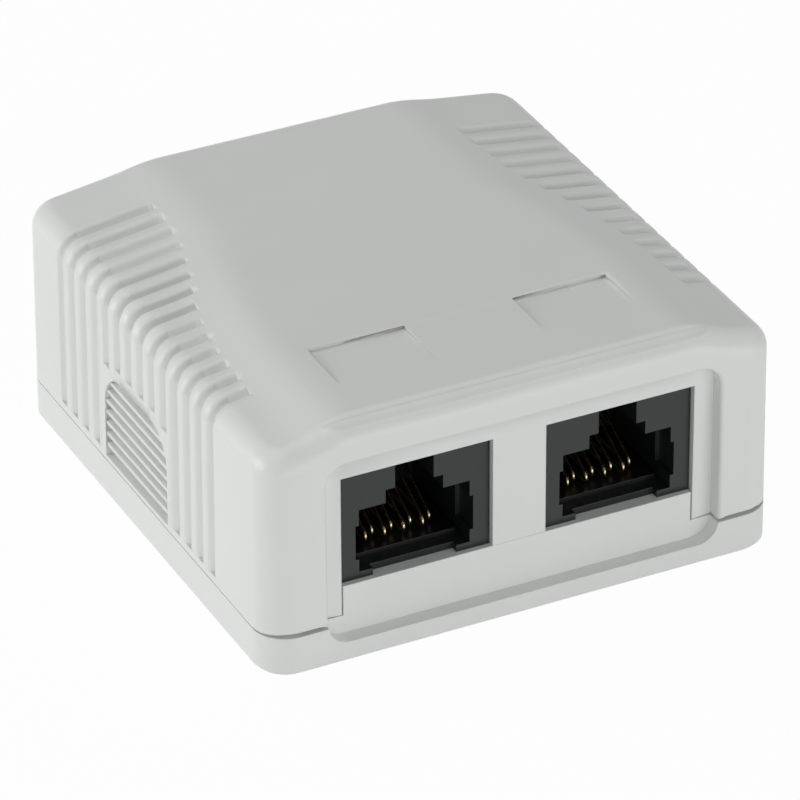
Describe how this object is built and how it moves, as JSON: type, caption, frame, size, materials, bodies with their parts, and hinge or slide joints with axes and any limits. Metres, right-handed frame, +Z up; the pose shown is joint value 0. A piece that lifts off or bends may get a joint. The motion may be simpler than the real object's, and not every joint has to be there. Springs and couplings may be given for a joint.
{
  "type": "surface mount jack box",
  "caption": "Low square wall box with side-by-side modular jacks behind a recessed front panel, a clip-on cover with a flared raised top, ribbed sides and arched knockouts.",
  "frame": {"origin": "middle of the underside of the base", "axes": "+X to the right along the front, the front with the jacks faces -Y, +Z up from the wall or desk"},
  "size_m": [0.055, 0.0576, 0.0261],
  "materials": {
    "cover_plastic": "satin off-white ABS",
    "board": "green solder mask on glass epoxy",
    "screw_steel": "zinc plated",
    "jack_plastic": "black PBT",
    "carrier_plastic": "black polycarbonate",
    "block_plastic": "ivory polycarbonate",
    "gold": "gold over nickel",
    "blade_metal": "tinned phosphor bronze"
  },
  "bodies": {
    "box_base": {"base": "cover_plastic", "circuit_board": "board", "board_screws": "screw_steel", "jack_housing_left": "jack_plastic", "contact_carrier_left": "carrier_plastic", "idc_block_left": "block_plastic", "jack_housing_right": "jack_plastic", "contact_carrier_right": "carrier_plastic", "idc_block_right": "block_plastic", "jack_wire_left_1": "gold", "jack_wire_left_2": "gold", "jack_wire_left_3": "gold", "jack_wire_left_4": "gold", "jack_wire_left_5": "gold", "jack_wire_left_6": "gold", "jack_wire_left_7": "gold", "jack_wire_left_8": "gold", "jack_wire_right_1": "gold", "jack_wire_right_2": "gold", "jack_wire_right_3": "gold", "jack_wire_right_4": "gold", "jack_wire_right_5": "gold", "jack_wire_right_6": "gold", "jack_wire_right_7": "gold", "jack_wire_right_8": "gold", "idc_blade_left_1": "blade_metal", "idc_blade_left_2": "blade_metal", "idc_blade_left_3": "blade_metal", "idc_blade_left_4": "blade_metal", "idc_blade_left_5": "blade_metal", "idc_blade_left_6": "blade_metal", "idc_blade_left_7": "blade_metal", "idc_blade_left_8": "blade_metal", "idc_blade_right_1": "blade_metal", "idc_blade_right_2": "blade_metal", "idc_blade_right_3": "blade_metal", "idc_blade_right_4": "blade_metal", "idc_blade_right_5": "blade_metal", "idc_blade_right_6": "blade_metal", "idc_blade_right_7": "blade_metal", "idc_blade_right_8": "blade_metal"},
    "box_cover": {"cover": "cover_plastic"}
  },
  "joints": [
    {"name": "cover_lift", "type": "slide", "parent": "box_base", "child": "box_cover", "axis": [0, 0, 1], "range_m": [0, 0.025]}
  ]
}
